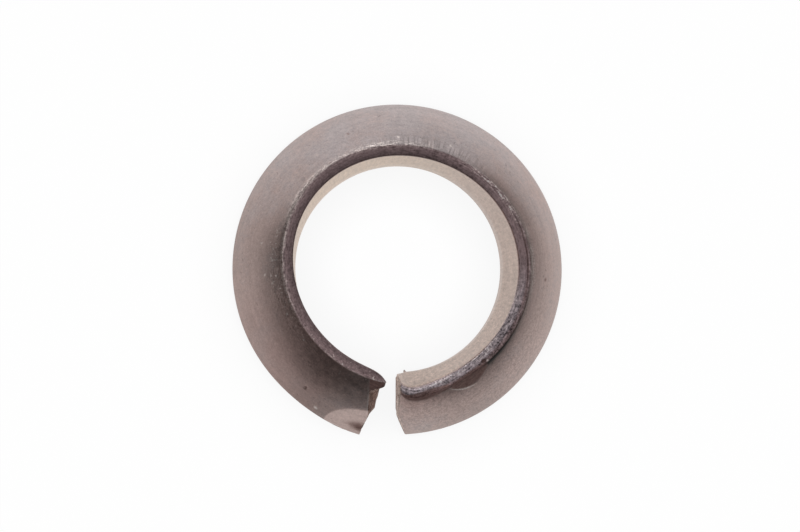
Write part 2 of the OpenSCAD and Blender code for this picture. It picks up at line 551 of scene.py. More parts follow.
@dataclass
class RolledRing:
    """The washer's ring, made by a node tree that sweeps the section round the bore."""

    section: SectionSizes = field(default_factory=SectionSizes)
    ring: RingSizes = field(default_factory=RingSizes)
    wear: Wear = field(default_factory=Wear)
    stations: int = 850
    cap_rows: int = 20
    crowd: float = 0.5
    weld: float = 0.0004
    press_slip: float = 1.6
    seat_slope: float = 0.6
    smudge_r: float = 10.8
    laps: tuple[Lap, ...] = (
        Lap(middle=-79.0, half=12.0, width=0.50, depth=0.08, inside=0.62),
        Lap(middle=-59.2, half=10.6, width=1.72, depth=0.15, inside=0.28),
        Lap(middle=-20.0, half=62.0, width=2.3, depth=-0.24, power=2.0, scale=0.0),
    )
    nicks: tuple[Nick, ...] = (
        Nick(angle=231.8, reach=5.3, size=0.28, depth=0.12),
        Nick(angle=239.0, reach=5.9, size=0.18, depth=0.06),
        Nick(angle=-50.0, reach=-0.2, size=0.34, depth=0.22),
        Nick(angle=112.0, reach=3.3, size=0.20, depth=0.04),
        Nick(angle=-85.6, reach=-7.6, size=0.20, depth=-0.25),
        Nick(angle=-5.0, reach=3.2, size=0.25, depth=0.04),
    )
    # a smudge of scale, whose depth is how dark it is
    smudge: Nick = Nick(angle=255.5, reach=7.2, size=1.1, depth=1.0)
    # small bright specks, partly spots worn through the coat and partly painted glints
    specks: tuple[Speck, ...] = (
        Speck(angle=178.0, reach=1.3, size=0.17),
        Speck(angle=-48.3, reach=0.05, size=0.20),
        Speck(angle=188.0, reach=1.6, size=0.15),
        Speck(angle=217.0, reach=0.9, size=0.14),
        Speck(angle=184.0, reach=2.5, size=0.17),
        Speck(angle=239.0, reach=7.0, size=0.28),
        Speck(angle=92.0, reach=1.2, size=0.18),
        Speck(angle=68.0, reach=1.4, size=0.15),
        Speck(angle=171.0, reach=3.1, size=0.14),
        Speck(angle=203.0, reach=1.0, size=0.16),
        # a painted glint on the nose's tip
        Speck(angle=256.0, reach=-0.12, size=0.15),
        Speck(angle=-87.0, reach=-7.2, size=0.24),
        Speck(angle=-86.2, reach=-7.7, size=0.22),
        Speck(angle=-84.9, reach=-7.5, size=0.16),
    )

    def build(self, material: bpy.types.Material) -> bpy.types.Object:
        """Make the ring as a plain mesh.

        Args:
            material: The steel's finish.

        Returns:
            The ring's object, in place.
        """
        outline = Outline(self.section)
        helper = outline.as_object("section_outline")
        tree = self._tree(outline, helper, material)
        ring = evaluated(tree, "washer_ring", material)
        bpy.data.objects.remove(helper)
        return ring

    def _tree(
        self, outline: Outline, helper: bpy.types.Object, material: bpy.types.Material
    ) -> bpy.types.NodeTree:
        """Build the sweep's node tree.

        Args:
            outline: The section's outline.
            helper: The helper object that holds its points.
            material: The finish to set.

        Returns:
            The tree, with the ring's sizes as named inputs.
        """
        make = TreeMaker("Rolled ring")
        size = {
            f.name: make.number(f.name, getattr(self.ring, f.name)) for f in fields(self.ring)
        }
        columns = len(outline.points)
        rows = self.stations + 2 * self.cap_rows
        grid = make.node("GeometryNodeMeshGrid", {"Vertices X": rows, "Vertices Y": columns})
        index = make.value(make.node("GeometryNodeInputIndex").outputs[0])
        row = (index / columns + 0.5 / columns).work(Maths.FLOOR)
        column = index - row * columns

        # the first and last rows shrink to a point and so close the two ends
        last_row = float(rows - 1)
        shrink = (row.at_most(last_row - row) / self.cap_rows).clamp()
        share = ((row - self.cap_rows) / (last_row - 2 * self.cap_rows)).clamp()
        crowded = share - (share * 360.0).sin() * (self.crowd / (2 * math.pi))
        turn = mix(size["first_angle"], size["last_angle"], crowded)

        point, reach = make.read_outline(helper, column)
        middle = outline.middle()
        r0 = mix(middle.x, point[0], shrink)
        z0 = mix(middle.y, point[1], shrink)
        place, pressed = self._formed(make, size, turn, r0, z0)

        shaped = make.node("GeometryNodeSetPosition")
        make.link(grid.outputs["Mesh"], shaped.inputs["Geometry"])
        make.link(place, shaped.inputs["Position"])
        geometry = make.flip(shaped.outputs["Geometry"])
        stored = {"turn": turn, "reach": reach, "inside": 1.0 - shrink, "pressed": pressed}
        for name, value in stored.items():
            geometry = make.store(geometry, name, value)
        geometry = make.merge(geometry, self.weld * MM)
        worn, scale = self._worn(make)
        geometry = make.store(geometry, "scale", scale)
        # worn-through spots and painted glints and edge highlights, for the finish
        geometry = make.store(geometry, "bare", self._spots_and_edge_highlights(make))
        geometry = make.displace(geometry, worn * MM)
        make.finish(geometry, material)
        return make.tree

    # -- the form -----------------------------------------------------------

    def _formed(
        self, make: "TreeMaker", size: dict[str, Value], turn: Value, r0: Value, z0: Value
    ) -> tuple[bpy.types.NodeSocket, Value]:
        """Place a point of the section on the sprung and sheared ring.

        Args:
            make: The tree's maker.
            size: The tree's inputs.
            turn: The station's angle.
            r0: The point's radius in the plain section.
            z0: The point's height in the plain section.

        Returns:
            The point's place in metres, and how much it was pressed back.
        """
        s = self.section
        across = ((r0 - s.bore_r) / (s.outer_r - s.bore_r)).clamp()
        flare = self._flare(size, turn)
        spread = self._spread(size, turn)
        base = mix(s.knee_h, s.rim_h, across)
        height_share = ((z0 - base) / (s.height - base)).clamp()
        r = r0 + (flare - s.flare) * height_share
        r = r + spread * ((r0 - s.ridge_r) / (s.outer_r - s.ridge_r)).clamp()

        rise = self._rise(size, turn)
        grow = rise.at_most(s.sizing)
        z = z0 + z0 * (grow / s.height) + (rise - s.sizing).at_least(0.0)

        right = self._right_end(size, r, z0)
        left = self._left_end(size, r, z0)
        near_right = (1.0 - (turn - size["first_angle"]) / size["blend_arc"]).clamp()
        near_left = (1.0 - (size["last_angle"] - turn) / size["blend_arc"]).clamp()
        angle = (
            turn
            + (right - size["first_angle"]) * near_right * near_right
            + (left - size["last_angle"]) * near_left * near_left
        )
        nose = self._nose_round(size, turn, left - angle, r)
        r = r + nose + self._foot_break(size, angle - right, r, z0)
        return self._pressed(make, size, turn, r * angle.cos(), r * angle.sin(), z)

    def _rise(self, size: dict[str, Value], turn: Value) -> Value:
        """Rise of the section towards the left end, with the metal that sizing left on."""
        along = ((turn - size["lift_from"]) / (size["last_angle"] - size["lift_from"])).clamp()
        return (size["end_lift"] + self.section.sizing) * along * along

    def _spread(self, size: dict[str, Value], turn: Value) -> Value:
        """Outward spread of the left end."""
        arc = size["last_angle"] - size["spread_from"]
        along = ((turn - size["spread_from"]) / arc).clamp()
        return size["end_spread"] * along * along

    def _flare(self, size: dict[str, Value], turn: Value) -> Value:
        """Flare of the lip beyond the bore's land.

        Args:
            size: The tree's inputs.
            turn: The station's angle.

        Returns:
            The flare.
        """
        from_first = turn - size["first_angle"]
        along = from_first / (size["last_angle"] - size["first_angle"])
        lobes = ((turn - size["lobe_top"]) * 360.0 / size["lobe_arc"]).cos()
        pinch = (-from_first / size["corner_arc"]).exp() * size["corner_pinch"]
        return (
            size["lean"] * (1.0 - 2.0 * along)
            + size["wave"] * lobes
            + size["end_flare"] * ((-from_first / size["fade_arc"]).exp() - pinch)
            + self.section.flare
        )

    def _rim_share(self, size: dict[str, Value], r: Value) -> Value:
        """How far into the outer corner's bevel a radius lies, from 0 to 1."""
        return ((r - (self.section.outer_r - size["bevel"])) / size["bevel"]).clamp()

    def _right_end(self, size: dict[str, Value], r: Value, z: Value) -> Value:
        """Angle at which the right end's sheared face cuts a point's circle.

        Args:
            size: The tree's inputs.
            r: The point's radius.
            z: The point's height.

        Returns:
            The angle.
        """
        x = (
            size["gap"] * 0.5
            - size["gap_shift"]
            - size["shear_hang"] * z / self.section.height
            + size["bevel_right"] * self._rim_share(size, r)
        )
        return (x / r).asin() - 90.0

    def _left_end(self, size: dict[str, Value], r: Value, z: Value) -> Value:
        """Angle at which the left end's sheared face cuts a point's circle.

        Args:
            size: The tree's inputs.
            r: The point's radius.
            z: The point's height.

        Returns:
            The angle.
        """
        s = self.section
        ridge = self._flare(size, size["last_angle"]) + (s.bore_r + s.lip_w)
        off_nose = ((r - ridge - size["nose_reach"]) / size["nose_w"]).ease()
        chipped = ((r - size["chip_r"]) / size["chip_w"]).ease() * size["chip_rise"]
        x = (
            -size["gap_shift"]
            - size["gap"] * 0.5
            - size["gap_draft"] * (r - s.bore_r) / (s.outer_r - s.bore_r)
            - size["shear_slant"] * off_nose * (z / s.height).at_least(chipped)
            - size["bevel_left"] * self._rim_share(size, r)
        )
        return (x / r).asin() + 270.0

    def _nose_round(self, size: dict[str, Value], turn: Value, short: Value, r: Value) -> Value:
        """Radius added where the nose narrows, at an angle short of its tip.

        Args:
            size: The tree's inputs.
            turn: The station's angle.
            short: How far short of the tip the point lies.
            r: The point's radius.

        Returns:
            The added radius.
        """
        s = self.section
        arc = short.at_least(0.0) * DEGREE * r
        inner = ((self._flare(size, turn) + (s.bore_r + s.lip_w) - r) / s.lip_w).clamp()
        return (-arc / size["nose_fade"]).exp() * inner * size["nose_land"] * s.lip_w

    def _foot_break(self, size: dict[str, Value], past: Value, r: Value, z: Value) -> Value:
        """Radius added where the bore's lower corner broke off, at an angle past the end.

        Args:
            size: The tree's inputs.
            past: How far past the end the point lies.
            r: The point's radius.
            z: The point's height.

        Returns:
            The added radius.
        """
        s = self.section
        arc = past.at_least(0.0) * DEGREE * r
        beside = (1.0 - arc / (size["break_w"] + s.edge_r)).clamp()
        behind = (1.0 - (r - s.bore_r - s.edge_r) / size["break_w"]).clamp()
        return size["break_w"] * beside * behind * (1.0 - z / s.land_h).clamp()

    def _pressed(
        self,
        make: "TreeMaker",
        size: dict[str, Value],
        turn: Value,
        x: Value,
        y: Value,
        z: Value,
    ) -> tuple[bpy.types.NodeSocket, Value]:
        """Push a point back to the flat pressed on the left end's outer corner.

        Args:
            make: The tree's maker.
            size: The tree's inputs.
            turn: The station's angle.
            x: The point's place along X.
            y: Its place along Y.
            z: Its height.

        Returns:
            The point's place in metres, and how much it was pressed back.
        """
        s = self.section
        nz = size["flat_tilt"].cos()
        pressed = turn * 0.0
        for azimuth in (size["flat_az"], size["flat_az"] - self.press_slip):
            nx = size["flat_tilt"].sin() * azimuth.cos()
            ny = size["flat_tilt"].sin() * azimuth.sin()
            lift = (self._rise(size, azimuth) - s.sizing).at_least(0.0)
            level = (
                (self._spread(size, azimuth) + s.outer_r) * size["flat_tilt"].sin()
                + (lift + s.rim_h) * nz
                - size["flat_depth"]
            )
            proud = (x * nx + y * ny + z * nz - level).at_least(0.0)
            proud = proud * turn.above(size["lift_from"])
            x, y, z = x - proud * nx, y - proud * ny, z - proud * nz
            pressed = pressed.at_least(proud)
        return make.vector(x * MM, y * MM, z * MM), pressed

    # -- the wear -----------------------------------------------------------

    def _worn(self, make: "TreeMaker") -> tuple[Value, Value]:
        """Work out the rolling, shearing and handling marks.

        Args:
            make: The tree's maker.

        Returns:
            The marks' height above the plain form, and where dark scale lies in them.
        """
        turn = make.attribute("turn")
        reach = make.attribute("reach")
        inside = make.attribute("inside")
        skin = 1.0 - (inside * 40.0).clamp()
        marks = self._rolled_marks(make, turn, reach, skin)
        marks, scale = self._laps_and_nicks(make, turn, reach, skin, marks)
        return self._sheared_ends(make, turn, reach, inside, skin, marks, scale)

    def _rolled_marks(
        self, make: "TreeMaker", turn: Value, reach: Value, skin: Value
    ) -> Value:
        """Height of the rolled grain, the crumbled lip, the bead and the worn ridge.

        Args:
            make: The tree's maker.
            turn: The angle round the ring.
            reach: The length down the section.
            skin: Where the rolled surface is, and not a sheared end.

        Returns:
            The height above the plain form.
        """
        s, w = self.section, self.wear
        on_seat = reach.ramp(-0.05, 0.25) * (1.0 - reach.ramp(7.6, 8.2)) * skin
        on_lip = reach.ramp(-s.lip_w - 0.3, -s.lip_w + 0.05) * (1.0 - reach.ramp(-0.02, 0.12))
        on_lip = on_lip * skin
        rough_arc = 1.0 - turn.ramp(-26.0, 6.0)

        marks = make.noise(0.35, 2.0, seed=3.0) * w.rolled * on_seat
        marks = marks + make.noise(1.3, 2.0, seed=4.0) * w.cloudy * on_seat
        crumbled = make.noise(2.6, 3.0, seed=9.0) * w.crumbs
        crumbled = crumbled + make.noise(6.0, 2.0, seed=5.0) * w.grit
        crumbled = crumbled + ring_noise(turn, reach, 0.3, 3.2, 2.0, seed=25.0) * w.drawn
        marks = marks + crumbled * on_lip * (rough_arc * w.rough_lip + w.smooth_lip)
        across = (reach + 0.5 * s.lip_w) / (0.5 * s.lip_w)
        rounded = (across * across).at_most(w.bead_limit)
        bead = (1.0 - (turn - self.ring.first_angle) / self.ring.bead_arc).clamp()
        marks = marks - on_lip * rounded * bead * self.ring.bead_depth
        worn_ridge = turn.bump(*w.ridge_arc).sqrt() * reach.bump(0.0, w.ridge_w)
        return marks - worn_ridge * w.ridge_depth * skin

    def _laps_and_nicks(
        self, make: "TreeMaker", turn: Value, reach: Value, skin: Value, marks: Value
    ) -> tuple[Value, Value]:
        """Cut the laps under the lip and the small dents into the marks.

        Args:
            make: The tree's maker.
            turn: The angle round the ring.
            reach: The length down the section.
            skin: Where the rolled surface is, and not a sheared end.
            marks: The marks' height so far.

        Returns:
            The marks' height, and where scale lies in them.
        """
        w = self.wear
        scale = turn * 0.0
        for lap in self.laps:
            hump = turn.bump(lap.middle, lap.half) ** w.lap_fullness
            left = (1.0 - reach / (hump * lap.width + 0.02)).clamp()
            under = left.above(0.0) * left if lap.power == 1.0 else left * left
            under = under * reach.ramp(-lap.inside, w.lap_lip - lap.inside)
            marks = marks - under * hump * lap.depth * skin
            # the laps' dark scale, partly real scale and partly painted shade deep in the hollows
            if lap.scale:
                inner = ((reach + hump * lap.inside) / 0.12).ease()
                covered = (left * 7.0).clamp() * inner * (hump * 2.0).clamp()
                blotches = make.noise(1.4, 2.0, seed=24.0) * 0.9 + w.lap_scale
                scale = scale.at_least(covered * blotches)
        for nick in self.nicks:
            radius = self.section.ridge_r + self.seat_slope * max(nick.reach, 0)
            away = off_spot(turn, reach, nick, radius)
            dent = (1.0 - away / nick.size).ease() * skin
            marks = marks - dent * nick.depth
            scale = scale.at_least((dent * 2.0).clamp() * w.nick_scale)
        return marks, scale

    def _sheared_ends(
        self,
        make: "TreeMaker",
        turn: Value,
        reach: Value,
        inside: Value,
        skin: Value,
        marks: Value,
        scale: Value,
    ) -> tuple[Value, Value]:
        """Tear the left end beyond a straight line, and roughen both sheared faces.

        Args:
            make: The tree's maker.
            turn: The angle round the ring.
            reach: The length down the section.
            inside: How far into a sheared end a place lies.
            skin: Where the rolled surface is, and not a sheared end.
            marks: The marks' height so far.
            scale: Where scale lies so far.

        Returns:
            The marks' height, and where scale lies.
        """
        w = self.wear
        x, _, z = make.place_mm()
        unpressed = 1.0 - share_pressed(make.attribute("pressed"))
        torn = turn.above(w.left_from) * reach.ramp(0.05, 0.15) * skin
        torn = torn * x.ramp(w.torn_from_x, w.torn_to_x)
        torn = torn * (1.0 - reach.ramp(7.0, 7.6)) * unpressed
        marks = marks - torn * (make.noise(1.6, 3.0, seed=21.0) * w.torn_rough + w.torn_depth)
        away = off_spot(turn, reach, self.smudge, self.smudge_r)
        away = away + make.noise(1.1, 2.0, seed=23.0) * 0.9
        smudged = (1.0 - away / self.smudge.size).ease() * self.smudge.depth
        scale = scale.at_least(smudged).at_least(torn)

        on_face = (inside * 12.0).clamp()
        edge = on_face * (1.0 - inside.ramp(0.9, 1.0))
        right_face = on_face * (1.0 - turn.ramp(-60.0, -50.0))
        # the right sheared face darker towards its foot, kept with the scale
        scale = scale.at_least(right_face * (1.0 - z.ramp(0.6, 1.5)) * w.darker_foot)
        sheared = make.noise(2.2, 4.0, seed=13.0, stretch=(1.0, 1.0, 0.35)) * w.sheared * edge
        crumbling = (1.0 - turn.ramp(-86.4, -83.6)) * (1.0 - reach.ramp(-7.2, -6.3))
        corner = make.noise(2.6, 2.0, seed=26.0) * crumbling * w.corner_crumbs
        return marks + (sheared + corner), scale

    def _spots_and_edge_highlights(self, make: "TreeMaker") -> Value:
        """Where small bright spots lie, partly worn through the coat and partly painted glints, and
        where painted highlights run along the rim of the open lap and the torn edge.

        Args:
            make: The tree's maker.

        Returns:
            How much of the worn-through and highlight colour shows, as a share.
        """
        turn, reach = make.attribute("turn"), make.attribute("reach")
        w = self.wear
        bare = turn * 0.0
        for speck in self.specks:
            radius = self.section.ridge_r + self.seat_slope * speck.reach
            away = off_spot(turn, reach, speck, radius)
            bare = bare.at_least((1.4 - away * (1.4 / speck.size)).clamp())
        # a painted highlight on the rim of the open lap
        leaf = self.laps[1]
        hump = turn.bump(leaf.middle, leaf.half) ** w.lap_fullness
        rim = (reach - hump * leaf.width).bump(0.04, 0.15) * turn.bump(-64.0, 8.0)
        bare = bare.at_least((rim * w.leaf_rim_highlight).clamp())
        x, _, _ = make.place_mm()
        below_ridge = reach.ramp(0.8, 1.4) * (1.0 - reach.ramp(3.6, 4.8))
        # a painted highlight along the torn edge on the left end's seat
        ragged_highlight = (x + make.noise(2.0, 2.0, seed=30.0) * 0.12).bump(w.torn_highlight_x, 0.09)
        ragged_highlight = ragged_highlight * turn.above(w.left_from)
        return bare.at_least(ragged_highlight * below_ridge * w.torn_highlight)


# ---------------------------------------------------------------------------
# Node trees that make meshes
# ---------------------------------------------------------------------------


class TreeMaker:
    """Builds a geometry node tree with named inputs."""

    def __init__(self, name: str) -> None:
        """Start an empty tree.

        Args:
            name: The tree's name.
        """
        self.tree = bpy.data.node_groups.new(name, "GeometryNodeTree")
        self.tree.interface.new_socket(
            "Geometry", in_out="OUTPUT", socket_type="NodeSocketGeometry"
        )
        self._inputs = self.tree.nodes.new("NodeGroupInput")
        self._output = self.tree.nodes.new("NodeGroupOutput")

    def node(self, kind: str, settings: dict[str, object] | None = None) -> bpy.types.Node:
        """Add a node.

        Args:
            kind: The node's type.
            settings: Values of its inputs, by name.

        Returns:
            The node.
        """
        node = self.tree.nodes.new(kind)
        for name, value in (settings or {}).items():
            node.inputs[name].default_value = value
        return node

    def link(self, start: bpy.types.NodeSocket, end: bpy.types.NodeSocket) -> None:
        """Join an output to an input."""
        self.tree.links.new(start, end)

    def value(self, socket: bpy.types.NodeSocket) -> Value:
        """Wrap an output for arithmetic."""
        return Value(self.tree, socket)

    def number(self, name: str, default: float) -> Value:
        """Add a named number to the tree's inputs.

        Args:
            name: Its name.
            default: Its value.

        Returns:
            The number, for arithmetic.
        """
        title = name.replace("_", " ").capitalize()
        socket = self.tree.interface.new_socket(
            title, in_out="INPUT", socket_type="NodeSocketFloat"
        )
        socket.default_value = default
        return self.value(self._inputs.outputs[title])

    def vector(self, x: Value, y: Value, z: Value) -> bpy.types.NodeSocket:
        """Join three numbers into a vector.

        Args:
            x: The first number.
            y: The second.
            z: The third.

        Returns:
            The vector.
        """
        node = self.node("ShaderNodeCombineXYZ")
        for value, slot in zip((x, y, z), node.inputs):
            self.link(value.socket, slot)
        return node.outputs[0]

    def split(self, vector: bpy.types.NodeSocket) -> tuple[Value, Value, Value]:
        """Split a vector into three numbers."""
        node = self.node("ShaderNodeSeparateXYZ")
        self.link(vector, node.inputs[0])
        return tuple(self.value(socket) for socket in node.outputs)

    def place_mm(self) -> tuple[Value, Value, Value]:
        """Place of the mesh's points, in millimetres."""
        x, y, z = self.split(self.node("GeometryNodeInputPosition").outputs[0])
        return x / MM, y / MM, z / MM

    def read_outline(
        self, helper: bpy.types.Object, column: Value
    ) -> tuple[tuple[Value, Value], Value]:
        """Read a point of the section's outline.

        Args:
            helper: The object that holds the outline.
            column: Which point to read.

        Returns:
            The point's radius and height, and its reach.
        """
        info = self.node("GeometryNodeObjectInfo", {"Object": helper})
        found = []
        for kind, source in (
            ("FLOAT_VECTOR", self.node("GeometryNodeInputPosition").outputs[0]),
            ("FLOAT", self.attribute("reach").socket),
        ):
            sample = self.node("GeometryNodeSampleIndex")
            sample.data_type = kind
            self.link(info.outputs["Geometry"], sample.inputs["Geometry"])
            self.link(source, sample.inputs["Value"])
            self.link(column.socket, sample.inputs["Index"])
            found.append(sample.outputs[0])
        radius, height, _ = self.split(found[0])
        return (radius, height), self.value(found[1])

    def attribute(self, name: str) -> Value:
        """Read a named number from the mesh."""
        node = self.node("GeometryNodeInputNamedAttribute", {"Name": name})
        node.data_type = "FLOAT"
        return self.value(node.outputs["Attribute"])

    def store(
        self, geometry: bpy.types.NodeSocket, name: str, value: Value
    ) -> bpy.types.NodeSocket:
        """Keep a number on the mesh's points, under a name.

        Args:
            geometry: The mesh.
            name: The name.
            value: The number.

        Returns:
            The mesh with the number.
        """
        node = self.node("GeometryNodeStoreNamedAttribute", {"Name": name})
        node.data_type = "FLOAT"
        node.domain = "POINT"
        self.link(geometry, node.inputs["Geometry"])
        self.link(value.socket, node.inputs["Value"])
        return node.outputs["Geometry"]

    def flip(self, geometry: bpy.types.NodeSocket) -> bpy.types.NodeSocket:
        """Turn the faces over, so that they face out of the metal."""
        node = self.node("GeometryNodeFlipFaces")
        self.link(geometry, node.inputs["Mesh"])
        return node.outputs["Mesh"]

    def merge(self, geometry: bpy.types.NodeSocket, distance: float) -> bpy.types.NodeSocket:
        """Join points that lie together, which closes seams and poles."""
        node = self.node("GeometryNodeMergeByDistance", {"Distance": distance})
        self.link(geometry, node.inputs["Geometry"])
        return node.outputs["Geometry"]

    def noise(
        self,
        per_mm: float,
        detail: float,
        seed: float,
        stretch: tuple[float, float, float] = (1.0, 1.0, 1.0),
    ) -> Value:
        """Seeded noise about zero, at the mesh's points.

        Args:
            per_mm: How many cells of the noise lie in a millimetre.
            detail: How many finer layers it has.
            seed: Which of many patterns it is.
            stretch: Scale along each axis.

        Returns:
            The noise, about from -0.5 to 0.5.
        """
        place = self.node("GeometryNodeInputPosition").outputs[0]
        return seeded_noise(self.tree, place, per_mm / MM, detail, seed, stretch)

    def displace(self, geometry: bpy.types.NodeSocket, height: Value) -> bpy.types.NodeSocket:
        """Move the mesh's points along its normals.

        Args:
            geometry: The mesh.
            height: How far to move its points.

        Returns:
            The moved mesh.
        """
        along = self.node("ShaderNodeVectorMath")
        along.operation = "SCALE"
        self.link(self.node("GeometryNodeInputNormal").outputs[0], along.inputs[0])
        self.link(height.socket, along.inputs["Scale"])
        node = self.node("GeometryNodeSetPosition")
        self.link(geometry, node.inputs["Geometry"])
        self.link(along.outputs[0], node.inputs["Offset"])
        return node.outputs["Geometry"]

    def finish(
        self, geometry: bpy.types.NodeSocket, material: bpy.types.Material, crease: float = 38.0
    ) -> None:
        """End the tree: shading, real geometry and the finish.

        Args:
            geometry: The mesh.
            material: Its finish.
            crease: Angle past which an edge looks sharp.
        """
        smooth = self.node("GeometryNodeSetShadeSmooth")
        self.link(geometry, smooth.inputs["Geometry"])
        sharp = self.node("GeometryNodeSetShadeSmooth", {"Shade Smooth": False})
        sharp.domain = "EDGE"
        bend = self.value(self.node("GeometryNodeInputMeshEdgeAngle").outputs[0])
        self.link(smooth.outputs[0], sharp.inputs["Geometry"])
        self.link(bend.above(math.radians(crease)).socket, sharp.inputs["Selection"])
        real = self.node("GeometryNodeRealizeInstances")
        self.link(sharp.outputs[0], real.inputs[0])
        dressed = self.node("GeometryNodeSetMaterial", {"Material": material})
        self.link(real.outputs[0], dressed.inputs["Geometry"])
        self.link(dressed.outputs[0], self._output.inputs[0])


def seeded_noise(
    tree: bpy.types.NodeTree,
    place: bpy.types.NodeSocket,
    scale: float,
    detail: float,
    seed: float,
    stretch: tuple[float, float, float] = (1.0, 1.0, 1.0),
) -> Value:
    """Add noise about zero to a geometry or material tree.

    Args:
        tree: The tree.
        place: Where the noise is read.
        scale: How fine it is.
        detail: How many finer layers it has.
        seed: Which of many patterns it is.
        stretch: Scale along each axis.

    Returns:
        The noise, about from -0.5 to 0.5.
    """
    scaled = tree.nodes.new("ShaderNodeVectorMath")
    scaled.operation = "MULTIPLY"
    tree.links.new(place, scaled.inputs[0])
    scaled.inputs[1].default_value = stretch
    node = tree.nodes.new("ShaderNodeTexNoise")
    node.noise_dimensions = "4D"
    for name, value in (("Scale", scale), ("Detail", detail), ("Roughness", 0.55), ("W", seed)):
        node.inputs[name].default_value = value
    tree.links.new(scaled.outputs[0], node.inputs["Vector"])
    return Value(tree, node.outputs[0]) - 0.5


def ring_noise(
    turn: Value, reach: Value, per_turn: float, per_reach: float, detail: float, seed: float
) -> Value:
    """Add noise that follows the ring to a geometry or material tree.

    Args:
        turn: The angle round the ring.
        reach: The length down its section.
        per_turn: Cells to the millimetre round the ring.
        per_reach: Cells to the millimetre down the section.
        detail: How many finer layers it has.
        seed: Which of many patterns it is.

    Returns:
        The noise, about from -0.5 to 0.5.
    """
    tree = turn.tree
    node = tree.nodes.new("ShaderNodeCombineXYZ")
    tree.links.new((turn * (DEGREE * MIDDLE_R * per_turn)).socket, node.inputs[0])
    tree.links.new((reach * per_reach).socket, node.inputs[1])
    return seeded_noise(tree, node.outputs[0], 1.0, detail, seed)


def evaluated(
    tree: bpy.types.NodeTree, name: str, material: bpy.types.Material
) -> bpy.types.Object:
    """Run a tree on an empty mesh and keep its result as a plain mesh.

    Args:
        tree: The tree.
        name: The new object's name.
        material: The one finish of its faces.

    Returns:
        The object, with no modifier left on it.
    """
    carrier = bpy.data.objects.new(name + "_maker", bpy.data.meshes.new(name + "_maker"))
    bpy.context.scene.collection.objects.link(carrier)
    modifier = carrier.modifiers.new("Form", "NODES")
    modifier.node_group = tree
    graph = bpy.context.evaluated_depsgraph_get()
    mesh = bpy.data.meshes.new_from_object(carrier.evaluated_get(graph), depsgraph=graph)
    mesh.name = name
    bpy.data.objects.remove(carrier)
    mesh.materials.clear()
    mesh.materials.append(material)
    mesh.polygons.foreach_set("material_index", [0] * len(mesh.polygons))
    made = bpy.data.objects.new(name, mesh)
    bpy.context.scene.collection.objects.link(made)
    return made


# ---------------------------------------------------------------------------
# Finishes
# ---------------------------------------------------------------------------

Colour = tuple[float, float, float]


class FinishMaker:
    """Builds a finish's shader from the ring's own attributes and object coordinates."""

    def __init__(self, name: str) -> None:
        """Start a material with its plain shader.

        Args:
            name: The material's name.
        """
        self.material = bpy.data.materials.new(name)
        self.material.use_nodes = True
        self.tree = self.material.node_tree
        self.shader = self.tree.nodes["Principled BSDF"]
        self._place = self.tree.nodes.new("ShaderNodeTexCoord").outputs["Object"]

    def attribute(self, name: str) -> Value:
        """Read a named number from the mesh."""
        node = self.tree.nodes.new("ShaderNodeAttribute")
        node.attribute_name = name
        return Value(self.tree, node.outputs["Fac"])

    def noise(self, per_mm: float, detail: float, seed: float) -> Value:
        """Noise about zero in the metal, so many cells to the millimetre."""
        return seeded_noise(self.tree, self._place, per_mm / MM, detail, seed)

    def blend(
        self, share: Value, start: "Colour | bpy.types.NodeSocket", end: Colour
    ) -> bpy.types.NodeSocket:
        """Mix two colours.

        Args:
            share: How much of the second colour there is.
            start: The first colour.
            end: The second colour.

        Returns:
            The mixed colour.
        """
        node = self.tree.nodes.new("ShaderNodeMix")
        node.data_type = "RGBA"
        node.clamp_factor = True
        self.tree.links.new(share.socket, node.inputs["Factor"])
        if isinstance(start, tuple):
            node.inputs["A"].default_value = (*start, 1.0)
        else:
            self.tree.links.new(start, node.inputs["A"])
        node.inputs["B"].default_value = (*end, 1.0)
        return node.outputs["Result"]

    def blend_into(
        self, share: Value, start: bpy.types.NodeSocket, end: bpy.types.NodeSocket
    ) -> bpy.types.NodeSocket:
        """Mix one mixed colour into another."""
        result = self.blend(share, start, (0.0, 0.0, 0.0))
        self.tree.links.new(end, result.node.inputs["B"])
        return result

    def scaled(self, colour: bpy.types.NodeSocket, level: Value) -> bpy.types.NodeSocket:
        """Make a colour lighter or darker.

        Args:
            colour: The colour.
            level: How light to make it.

        Returns:
            The new colour.
        """
        node = self.tree.nodes.new("ShaderNodeVectorMath")
        node.operation = "SCALE"
        self.tree.links.new(colour, node.inputs[0])
        self.tree.links.new(level.socket, node.inputs["Scale"])
        return node.outputs[0]

    def bump(self, height: Value, depth_mm: float) -> None:
        """Give the shader fine relief of a depth in millimetres.

        Args:
            height: The relief's height, about zero.
            depth_mm: Its depth in millimetres.
        """
        node = self.tree.nodes.new("ShaderNodeBump")
        node.inputs["Strength"].default_value = 1.0
        node.inputs["Distance"].default_value = depth_mm * MM
        self.tree.links.new(height.socket, node.inputs["Height"])
        self.tree.links.new(node.outputs[0], self.shader.inputs["Normal"])

    def set(self, name: str, source: "Value | bpy.types.NodeSocket | float") -> None:
        """Drive one of the shader's inputs.

        Args:
            name: The input's name.
            source: What drives it.
        """
        if isinstance(source, (int, float)):
            self.shader.inputs[name].default_value = source
            return
        socket = source.socket if isinstance(source, Value) else source
        self.tree.links.new(socket, self.shader.inputs[name])


@dataclass(frozen=True)
class Place:
    """Where on the ring a spot lies: its angle, its reach, and its share of each part."""

    turn: Value
    reach: Value
    seat: Value
    wall: Value
    lip: Value
    ragged: Value
    end_face: Value
    left: Value
    flat: Value
    scale: Value


@dataclass(frozen=True)
class Grain:
    """The noises of the rolled metal, each about zero."""

    clouds: Value
    patches: Value
    mottle: Value
    specks: Value
    rolled: Value
    combed: Value
    honed: Value
    brushed: Value
    crumbs: Value
    streaks: Value
    drawn: Value
    folds: Value
    grit: Value

    def mixed(self, **shares: float) -> Value:
        """The named noises added up, each by its share.

        Args:
            shares: Each noise's share, by its name.

        Returns:
            The sum.
        """
        terms = [getattr(self, name) * share for name, share in shares.items()]
        total = terms[0]
        for term in terms[1:]:
            total = total + term
        return total


